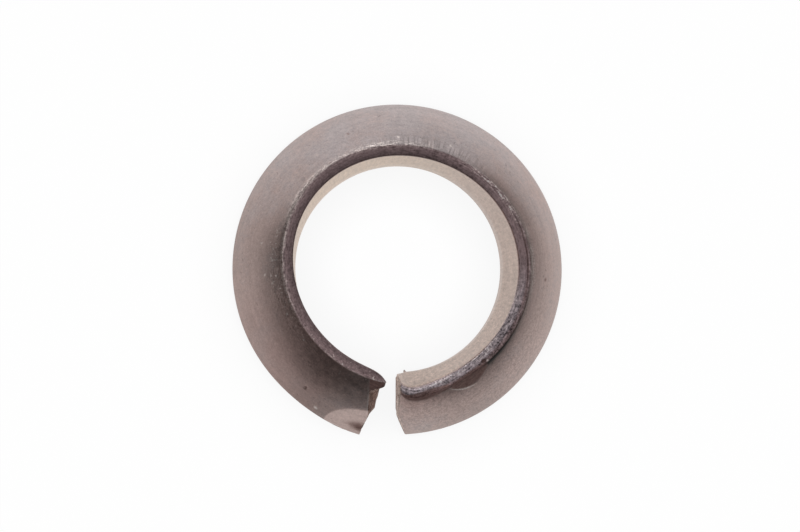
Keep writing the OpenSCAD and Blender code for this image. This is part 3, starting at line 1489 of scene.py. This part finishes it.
@dataclass(frozen=True)
class PhosphatedSteel:
    """Spring steel with a thin phosphate coat: dull, a little pink and worn on its edges, with
    painted highlights along its edges and painted shade on its seat.
    """

    name: str = "phosphated_steel"
    cool: Colour = (0.404, 0.352, 0.350)
    warm: Colour = (0.425, 0.325, 0.300)
    russet: Colour = (0.430, 0.305, 0.280)
    bore: Colour = (0.484, 0.383, 0.334)
    far_bore: Colour = (0.490, 0.392, 0.314)
    lip: Colour = (0.300, 0.225, 0.228)
    # the colour of metal worn through the coat, also painted on as highlights and glints
    rubbed: Colour = (0.880, 0.780, 0.735)
    scale: Colour = (0.262, 0.168, 0.152)
    # colour of the brown line along the ridge and of the dark line on the lip's inner edge, which
    # is partly a painted dark reflection
    rust: Colour = (0.150, 0.082, 0.062)
    torn: Colour = (0.300, 0.200, 0.170)
    broken: Colour = (0.700, 0.560, 0.490)
    bead: Colour = (0.470, 0.415, 0.440)
    sheen: Colour = (1.0, 0.97, 0.95)
    dull_sheen: Colour = (0.42, 0.28, 0.23)
    lip_w: float = 1.1
    relief_mm: float = 0.022

    # painted shade on arcs of the seat, and painted light where an arc's strength is negative: near
    # the ridge, close beside it and all over
    oiled: tuple[Arc, ...] = (
        Arc(168.0, 26.0, 0.20),
        Arc(136.0, 26.0, -0.16),
        Arc(86.0, 22.0, 0.10),
        Arc(146.0, 22.0, -0.12),
    )
    lined: tuple[Arc, ...] = (Arc(-46.0, 30.0, 0.27), Arc(42.0, 24.0, 0.18))
    dimmed: tuple[Arc, ...] = (
        Arc(170.0, 36.0, 0.12),
        Arc(202.0, 15.0, 0.08),
        Arc(-57.0, 28.0, 0.10),
    )

    # tones of the lip round the ring, and of its crumbled part
    lip_tones: tuple[Arc, ...] = (
        Arc(16.0, 52.0, 0.32),
        Arc(86.0, 44.0, -0.20),
        Arc(-36.0, 26.0, -0.17),
        Arc(124.0, 24.0, -0.10),
    )
    crumbled_tones: tuple[Arc, ...] = (Arc(-80.0, 12.0, 0.18), Arc(-62.0, 16.0, 0.22))

    # comb marks outside the ridge, painted highlight bands along it and worn flecks beside it
    combs: tuple[Arc, ...] = (Arc(74.0, 46.0), Arc(8.0, 42.0, 0.4))
    ridge_highlights: tuple[Patch, ...] = (
        Patch(38.0, 30.0, -0.15, 0.45, 0.95),
        Patch(100.0, 34.0, 0.25, 0.60, 1.0),
        Patch(2.0, 34.0, 0.50, 0.80, 0.5),
    )
    flecked: tuple[Patch, ...] = (
        Patch(178.0, 26.0, 1.3, 1.7),
        Patch(190.0, 60.0, 0.7, 1.1, 0.6),
    )

    def material(self) -> bpy.types.Material:
        """Build the finish's node material.

        Returns:
            The material.
        """
        make = FinishMaker(self.name)
        at = self._place(make)
        grain = self._grain(make, at)
        colour, level = self._coat(make, at, grain)
        colour, level = self._bore_and_lip(make, at, grain, colour, level)
        bare = self._rubbed(make, at, grain)
        colour = make.blend(self._browned(at, grain), colour, self.rust)
        # worn spots, painted glints and painted highlights in one light colour
        colour = make.blend(bare, colour, self.rubbed)
        colour = self._torn_ends(make, at, colour)

        level = level * (1.0 + at.end_face * grain.crumbs * 3.4).at_least(0.35)
        scaly = 1.0 + grain.mixed(streaks=1.5, crumbs=1.0)
        level = mix(level, scaly, at.scale.clamp() * 0.7)
        make.set("Base Color", make.scaled(colour, level))
        self._gloss(make, at, grain, bare)
        return make.material

    def _place(self, make: FinishMaker) -> Place:
        """Read where on the ring a spot lies.

        Args:
            make: The finish's maker.

        Returns:
            The place.
        """
        turn, reach = make.attribute("turn"), make.attribute("reach")
        seat = reach.ramp(-0.05, 0.15)
        wall = 1.0 - reach.ramp(-self.lip_w - 0.28, -self.lip_w - 0.12)
        return Place(
            turn=turn,
            reach=reach,
            seat=seat,
            wall=wall,
            lip=(1.0 - seat) * (1.0 - wall),
            ragged=1.0 - turn.ramp(-26.0, 8.0),
            end_face=(make.attribute("inside") * 30.0).clamp(),
            left=turn.ramp(100.0, 200.0),
            flat=share_pressed(make.attribute("pressed")),
            scale=make.attribute("scale"),
        )

    def _grain(self, make: FinishMaker, at: Place) -> Grain:
        """Make the noises of the rolled metal.

        Args:
            make: The finish's maker.
            at: Where a spot lies.

        Returns:
            The noises.
        """
        turn, reach = at.turn, at.reach
        return Grain(
            clouds=make.noise(0.22, 2.0, seed=1.0),
            patches=make.noise(0.9, 3.0, seed=2.0),
            mottle=make.noise(2.6, 2.0, seed=12.0),
            specks=make.noise(5.5, 2.0, seed=3.0),
            rolled=ring_noise(turn, reach, 0.12, 2.2, 3.0, seed=4.0),
            combed=ring_noise(turn, reach, 4.2, 0.35, 2.0, seed=5.0),
            honed=ring_noise(turn, reach, 0.22, 1.0, 2.0, seed=6.0),
            brushed=ring_noise(turn, reach, 2.6, 0.7, 2.0, seed=16.0),
            crumbs=make.noise(4.2, 3.0, seed=7.0),
            streaks=ring_noise(turn, reach, 0.9, 7.0, 3.0, seed=8.0),
            drawn=ring_noise(turn, reach, 0.35, 4.2, 3.0, seed=15.0),
            folds=ring_noise(turn, reach, 0.10, 4.4, 1.0, seed=27.0),
            grit=make.noise(8.0, 2.0, seed=28.0),
        )

    def _coat(
        self, make: FinishMaker, at: Place, grain: Grain
    ) -> tuple[bpy.types.NodeSocket, Value]:
        """Colour the coat: cool on the far side, and warm towards the ends, partly the coat's own
        stain and partly painted light: cool daylight on the side of the window lamps, the room's
        warm light elsewhere.

        Args:
            make: The finish's maker.
            at: Where a spot lies.
            grain: The metal's noises.

        Returns:
            The coat's colour and its lightness.
        """
        turn, reach = at.turn, at.reach
        by_left_end = turn.ramp(232.0, 246.0)
        far = turn.bump(88.0, 95.0) + by_left_end * (0.35 - at.flat * 0.9)
        hue = grain.mixed(clouds=2.0, mottle=1.2) + 1.0 - far
        colour = make.blend(hue, self.cool, self.warm)
        reddish = turn.ramp(175.0, 226.0) * (1.0 - by_left_end * 0.9)
        colour = make.blend(reddish * (grain.clouds * 1.5 + 1.0), colour, self.russet)

        level = grain.mixed(patches=0.34, mottle=0.46, specks=0.66) + 0.98
        level = level + grain.rolled * 0.30 * at.seat
        pits = make.noise(2.4, 1.0, seed=14.0)
        level = level * (1.0 - pits.ramp(0.17, 0.27) * 0.32 + (-pits).ramp(0.19, 0.27) * 0.20)
        by_right_end = 1.0 - turn.ramp(-40.0, -5.0)
        level = level + grain.mixed(specks=0.5, mottle=0.45) * by_right_end
        beside_ridge = turn.bump(198.0, 62.0) * reach.bump(0.9, 1.5)
        level = level * (1.0 + beside_ridge * grain.mixed(streaks=1.5, crumbs=1.3))
        level = self._shaded(at, grain, level)
        soft = (1.0 - turn.ramp(20.0, 75.0)) * reach.bump(0.5, 2.0) * 0.7
        return make.blend(soft, colour, self.russet), level

    def _shaded(self, at: Place, grain: Grain, level: Value) -> Value:
        """Paint shade into the coat: darker near the ridge, on the right part of the seat and
        towards the left end; and paint light on the outer seat of the window side.

        Args:
            at: Where a spot lies.
            grain: The metal's noises.
            level: The coat's lightness so far.

        Returns:
            The lightness, darkened.
        """
        turn, reach = at.turn, at.reach
        down = -reach.at_least(0.0)
        # painted shade: the seat darker towards the left end, less at the nose's tip
        ends = turn.ramp(194.0, 236.0) * at.seat * (1.0 - at.flat) * (1.0 - at.end_face * 0.7)
        below = (1.0 - reach.ramp(1.5, 6.0)) * (grain.patches * 0.9 + 0.26)
        below = below - (down / 0.9).exp() * 0.18
        outer = turn.bump(238.0, 18.0) * reach.ramp(3.5, 7.0) * 0.12
        outer = outer + reach.bump(4.2, 3.0) * 0.06
        tip = turn.bump(254.0, 9.0) * 0.08
        level = level * (1.0 - ends * (0.325 + below + outer - tip))

        # painted shade close to the ridge, strongest on the right part of the seat
        right = (1.0 - turn.ramp(-5.0, 75.0)) * turn.ramp(-90.0, -62.0)
        right = right * (0.70 - turn.bump(-10.0, 34.0) * 0.14)
        oiled = right + 0.25 + sum_of_arcs(turn, self.oiled)
        dark = (down / 1.7).exp() * at.seat * oiled
        dark = dark + (down / 0.6).exp() * at.seat * sum_of_arcs(turn, self.lined)
        dark = dark + at.seat * sum_of_arcs(turn, self.dimmed)
        dark = dark + (1.0 - turn.ramp(-62.0, -42.0)) * reach.ramp(3.0, 6.5) * 0.09
        # painted light: the outer seat lighter on the side of the window lamps
        light = turn.bump(72.0, 110.0) * reach.ramp(1.5, 6.5) * 0.17
        return level * (1.0 - dark) * (1.0 + light)

    def _comb_band(self, at: Place) -> Value:
        """Where the comb marks lie, outside the ridge."""
        return sum_of_arcs(at.turn, self.combs) * at.reach.bump(0.60, 1.4)

    def _bore_and_lip(
        self,
        make: FinishMaker,
        at: Place,
        grain: Grain,
        colour: bpy.types.NodeSocket,
        level: Value,
    ) -> tuple[bpy.types.NodeSocket, Value]:
        """Add the bright bore, the dark lip with its crumbled bead, and the comb marks.

        Args:
            make: The finish's maker.
            at: Where a spot lies.
            grain: The metal's noises.
            colour: The colour so far.
            level: The lightness so far.

        Returns:
            The colour and the lightness.
        """
        turn, reach = at.turn, at.reach
        bore = make.blend(turn.ramp(40.0, 95.0), self.bore, self.far_bore)
        colour = make.blend_into(at.wall, colour, bore)
        ground = grain.mixed(honed=0.30, brushed=0.75) + turn.ramp(40.0, 150.0) * 0.3
        level = level * (1.0 + at.wall * ground)
        colour = make.blend(at.lip, colour, self.lip)
        crown = reach.ramp(-self.lip_w, -0.1) * 0.62 - 0.26
        level = level * (1.0 + at.lip * turn.ramp(20.0, 60.0) * crown)
        colour = make.blend(at.lip * at.ragged * reach.ramp(-0.15, -0.5), colour, self.bead)
        level = level * (1.0 + grain.combed * self._comb_band(at) * 2.1)
        # a dark brown line along the lip's inner edge: partly a fine crack, partly a painted dark
        # reflection on the rounded edge
        inner_line = grain.streaks * 2.0 + 0.75 + turn.bump(-52.0, 22.0) * 0.5
        inner_line = reach.bump(-self.lip_w - 0.08, 0.22) * inner_line
        colour = make.blend(inner_line * (0.85 - at.ragged * 0.25), colour, self.rust)

        by_end = 1.0 - turn.ramp(-80.0, -58.0)
        crumbled = grain.mixed(crumbs=1.6, drawn=2.9, grit=2.2)
        crumbled = crumbled + by_end * grain.mixed(drawn=0.9, folds=3.8)
        crumbled = crumbled + 0.10 + sum_of_arcs(turn, self.crumbled_tones)
        streaked = grain.mixed(streaks=2.0, crumbs=1.5) * (1.0 - turn.bump(118.0, 58.0) * 0.50)
        lighter = sum_of_arcs(turn, self.lip_tones) + turn.ramp(180.0, 228.0) * 0.20
        lighter = lighter - turn.ramp(246.0, 254.0) * 0.22
        uneven = at.ragged * crumbled + streaked + lighter
        return colour, level * (1.0 + at.lip * uneven).at_least(0.15)

    def _rubbed(self, make: FinishMaker, at: Place, grain: Grain) -> Value:
        """Where the worn-through and highlight colour shows: painted glints on the bead, painted
        highlights along the ridge, worn flecks and the spots.

        Args:
            make: The finish's maker.
            at: Where a spot lies.
            grain: The metal's noises.

        Returns:
            How much of the worn-through and highlight colour shows, as a share.
        """
        turn, reach = at.turn, at.reach
        # painted glints on the crumbled bead of the lip
        glint = grain.mixed(crumbs=0.8, drawn=1.0).ramp(0.02, 0.16)
        glint = glint * at.lip * at.ragged * reach.bump(-0.86, 0.50)
        glint = glint * (0.28 + turn.bump(-50.0, 24.0) * 0.4)

        # painted highlights along the ridge, broken up where the ridge is also worn
        by_left_end = 0.34 - turn.ramp(230.0, 240.0) * 0.12
        worn_highlit_arc = turn.bump(172.0, 42.0).sqrt()
        ridge = reach.bump(-0.04, 0.15) * turn.ramp(206.0, 226.0) * by_left_end
        ridge = ridge + sum_of_patches(turn, reach, self.ridge_highlights)
        ridge = ridge + (reach + grain.mottle * 0.5).bump(0.08, 0.40) * worn_highlit_arc * 0.62
        ridge = ridge + reach.bump(0.32, 0.46) * turn.bump(140.0, 24.0).sqrt() * 0.75
        broken_up = grain.mixed(streaks=1.0, specks=0.6) + (grain.mottle * 0.8 + 0.07) * worn_highlit_arc
        rubbed = broken_up.ramp(-0.06, 0.14) * ridge

        flecked = sum_of_patches(turn, reach, self.flecked)
        flecked = flecked + turn.ramp(196.0, 206.0) * reach.bump(-0.2, 0.9)
        flecked = flecked + turn.ramp(228.0, 240.0) * reach.bump(0.8, 1.1) * 0.7
        flecks = make.noise(3.2, 1.0, seed=17.0).ramp(0.12, 0.22) * flecked
        bare = glint.at_least(rubbed).at_least(flecks * 0.7)
        return bare.at_least(make.attribute("bare")).at_least(at.flat * 0.05)

    def _browned(self, at: Place, grain: Grain) -> Value:
        """Where a ragged brown line follows the ridge."""
        line = (at.reach + grain.mottle * 0.5).bump(0.30, 0.42)
        return at.turn.bump(186.0, 48.0) * line * (grain.streaks * 3.0 + 0.22)

    def _torn_ends(
        self, make: FinishMaker, at: Place, colour: bpy.types.NodeSocket
    ) -> bpy.types.NodeSocket:
        """Colour the sheared ends, rusty and freshly broken, and the scale in the laps.

        Args:
            make: The finish's maker.
            at: Where a spot lies.
            colour: The colour so far.

        Returns:
            The colour.
        """
        rust = make.noise(2.6, 3.0, seed=11.0)
        right = 1.0 - at.left
        fresh = rust.ramp(-0.07, 0.07) * (1.0 - at.left * 0.15) + right * 0.35
        # painted shade: the torn face darker under the nose's ridge
        under_ridge = at.left * (1.0 - at.reach.ramp(0.2, 0.9))
        torn = make.blend(fresh * (1.0 - under_ridge * 0.6), self.torn, self.broken)
        colour = make.blend_into(at.end_face, colour, torn)
        return make.blend(at.scale, colour, self.scale)

    def _gloss(self, make: FinishMaker, at: Place, grain: Grain, bare: Value) -> None:
        """Set the metal's gloss and its fine relief.

        Args:
            make: The finish's maker.
            at: Where a spot lies.
            grain: The metal's noises.
            bare: How much of the worn-through and highlight colour shows.
        """
        left_face = at.end_face * at.left
        make.set("Metallic", 0.92 - at.scale * 0.45 - left_face * 0.35)
        rough = grain.mixed(patches=0.12, mottle=0.10, specks=0.12) + 0.37
        rough = rough + at.scale * 0.22 + at.end_face * 0.20 - bare * 0.08
        make.set("Roughness", rough)
        dull = at.scale.at_least(left_face)
        make.set("Specular IOR Level", 0.5 - dull * 0.4)
        make.set("Specular Tint", make.blend(dull, self.sheen, self.dull_sheen))
        relief = grain.mixed(specks=0.9, mottle=0.35)
        relief = relief + grain.mixed(crumbs=0.6, drawn=0.6) * at.lip * at.ragged
        relief = relief + grain.combed * self._comb_band(at) * 0.9
        relief = relief + grain.honed * at.wall * 0.5
        relief = relief + grain.crumbs * at.end_face * (1.2 + at.left)
        make.bump(relief, self.relief_mm)


@dataclass(frozen=True)
class PaleTable:
    """The plain white ground that the washer lies on."""

    name: str = "pale_table"
    paint: Colour = (0.9, 0.9, 0.9)
    own_light: float = 0.99
    shade: float = 0.12
    shade_reach_mm: float = 6.0
    shade_samples: int = 12

    def material(self) -> bpy.types.Material:
        """Build the ground's material: white by itself, with the washer's soft shadow.

        Returns:
            The material.
        """
        made = bpy.data.materials.new(self.name)
        made.use_nodes = True
        tree = made.node_tree
        tree.nodes.clear()
        out = tree.nodes.new("ShaderNodeOutputMaterial")
        plain = tree.nodes.new("ShaderNodeBsdfDiffuse")
        plain.inputs["Color"].default_value = (*self.paint, 1.0)
        glow = tree.nodes.new("ShaderNodeEmission")
        path = tree.nodes.new("ShaderNodeLightPath")
        seen = Value(tree, path.outputs["Is Camera Ray"])
        seen = seen.at_least(Value(tree, path.outputs["Is Glossy Ray"]))
        seen = seen.at_least(Value(tree, path.outputs["Is Transmission Ray"]))
        near = tree.nodes.new("ShaderNodeAmbientOcclusion")
        near.samples = self.shade_samples
        near.inputs["Distance"].default_value = self.shade_reach_mm * MM
        shade = (1.0 - Value(tree, near.outputs["AO"])) * Value(tree, path.outputs["Is Camera Ray"])
        tree.links.new((1.0 - shade * self.shade).socket, glow.inputs["Strength"])
        blend = tree.nodes.new("ShaderNodeMixShader")
        tree.links.new((seen * self.own_light).socket, blend.inputs[0])
        tree.links.new(plain.outputs[0], blend.inputs[1])
        tree.links.new(glow.outputs[0], blend.inputs[2])
        tree.links.new(blend.outputs[0], out.inputs["Surface"])
        return made


# ---------------------------------------------------------------------------
# The studio
# ---------------------------------------------------------------------------


@dataclass(frozen=True)
class Lamp:
    """A soft rectangular lamp: where it hangs, its size and the light that it gives."""

    name: str
    azimuth: float
    elevation: float
    distance: float
    width: float
    height: float
    radiance: float
    colour: Colour = (1.0, 1.0, 1.0)

    def hang(self) -> bpy.types.Object:
        """Add the lamp to the scene, facing the washer.

        Returns:
            The lamp's object.
        """
        data = bpy.data.lights.new(self.name, "AREA")
        data.shape = "RECTANGLE"
        data.size = self.width
        data.size_y = self.height
        data.energy = self.radiance * math.pi * self.width * self.height
        data.color = self.colour
        lamp = bpy.data.objects.new(self.name, data)
        bpy.context.scene.collection.objects.link(lamp)
        lamp.location = direction(self.azimuth, self.elevation) * self.distance
        lamp.rotation_euler = (-lamp.location).to_track_quat("-Z", "Y").to_euler()
        return lamp


def direction(azimuth: float, elevation: float) -> Vector:
    """The unit vector towards an azimuth from +X and an elevation, in degrees."""
    a, e = math.radians(azimuth), math.radians(elevation)
    return Vector((math.cos(e) * math.cos(a), math.cos(e) * math.sin(a), math.sin(e)))


@dataclass(frozen=True)
class Studio:
    """The pale floor, the soft lamps, the room's dim light and the camera."""

    floor_size: float = 12.0
    camera_tilt: float = 5.88
    camera_azimuth: float = 214.5
    camera_distance: float = 0.180
    focal_length: float = 74.03
    sensor_width: float = 36.0
    clip_start: float = 0.01
    aim: tuple[float, float, float] = (0.000235, 0.000325, 0.0)
    room: Colour = (0.060, 0.052, 0.050)
    upper_room: Colour = (0.40, 0.39, 0.39)
    upper_start: tuple[float, float] = (0.30, 0.60)
    upper_end: tuple[float, float] = (0.84, 0.96)
    backdrop_start: float = 0.0
    backdrop_end: float = 0.05
    lamps: tuple[Lamp, ...] = (
        Lamp("window_right", 57.0, 11.0, 0.80, 0.60, 0.30, 1.0),
        Lamp("window_middle", 100.0, 11.0, 0.80, 0.60, 0.30, 1.6),
        Lamp("window_left", 143.0, 11.0, 0.80, 0.60, 0.30, 0.85),
        Lamp("ceiling", 60.0, 84.0, 1.20, 1.00, 1.00, 0.29, (1.0, 0.94, 0.96)),
    )

    def floor(self) -> bpy.types.Object:
        """Lay the floor just under the washer.

        Returns:
            The floor's object.
        """
        half = self.floor_size / 2
        mesh = bpy.data.meshes.new("floor")
        corners = [(-half, -half, 0.0), (half, -half, 0.0), (half, half, 0.0), (-half, half, 0.0)]
        mesh.from_pydata(corners, [], [(0, 1, 2, 3)])
        mesh.materials.append(PaleTable().material())
        floor = bpy.data.objects.new("floor", mesh)
        bpy.context.scene.collection.objects.link(floor)
        return floor

    def light(self) -> None:
        """Hang the lamps and set the room's light."""
        for lamp in self.lamps:
            lamp.hang()
        world = bpy.data.worlds.new("room")
        bpy.context.scene.world = world
        world.use_nodes = True
        tree = world.node_tree
        ground = tree.nodes["Background"]
        path = tree.nodes.new("ShaderNodeLightPath")
        where = tree.nodes.new("ShaderNodeTexCoord")
        split = tree.nodes.new("ShaderNodeSeparateXYZ")
        tree.links.new(where.outputs["Generated"], split.inputs[0])
        height = Value(tree, split.outputs[2])
        low = 1.0 - height.ramp(self.backdrop_start, self.backdrop_end)
        seen = Value(tree, path.outputs["Is Glossy Ray"]) * low
        seen = seen.at_least(Value(tree, path.outputs["Is Camera Ray"]))
        seen = seen.at_least(Value(tree, path.outputs["Is Transmission Ray"]))
        tint = tree.nodes.new("ShaderNodeMix")
        tint.data_type = "RGBA"
        tint.inputs["B"].default_value = (1.0, 1.0, 1.0, 1.0)
        tree.links.new(seen.socket, tint.inputs["Factor"])
        above = tree.nodes.new("ShaderNodeMix")
        above.data_type = "RGBA"
        above.inputs["A"].default_value = (*self.room, 1.0)
        above.inputs["B"].default_value = (*self.upper_room, 1.0)
        high = height.ramp(*self.upper_start) * (1.0 - height.ramp(*self.upper_end))
        tree.links.new(high.socket, above.inputs["Factor"])
        tree.links.new(above.outputs["Result"], tint.inputs["A"])
        tree.links.new(tint.outputs["Result"], ground.inputs["Color"])
        ground.inputs["Strength"].default_value = 1.0

    def camera(self) -> bpy.types.Object:
        """Set up the camera, almost straight above the washer.

        Returns:
            The camera's object.
        """
        data = bpy.data.cameras.new("camera")
        data.lens = self.focal_length
        data.sensor_width = self.sensor_width
        data.clip_start = self.clip_start
        camera = bpy.data.objects.new("camera", data)
        bpy.context.scene.collection.objects.link(camera)
        towards = direction(self.camera_azimuth, 90 - self.camera_tilt)
        camera.location = towards * self.camera_distance
        look = Vector(self.aim) - camera.location
        right = look.cross(Vector((0.0, 1.0, 0.0))).normalized()
        up = right.cross(look).normalized()
        turn = Matrix((right, up, -look.normalized())).transposed()
        camera.rotation_euler = turn.to_euler()
        bpy.context.scene.camera = camera
        return camera


# ---------------------------------------------------------------------------
# The washer in its studio
# ---------------------------------------------------------------------------


def main() -> None:
    """Build the washer and the studio."""
    logging.basicConfig(level=logging.INFO, format="%(name)s: %(message)s")
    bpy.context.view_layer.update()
    steel = PhosphatedSteel().material()

    ring = RolledRing().build(steel)
    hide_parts(NODE)
    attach(ring, BODY)
    log.info("ring: %d faces", len(ring.data.polygons))

    studio = Studio()
    studio.floor()
    studio.light()
    studio.camera()
    bpy.context.scene.view_settings.view_transform = "Standard"


if __name__ == "__main__":
    main()
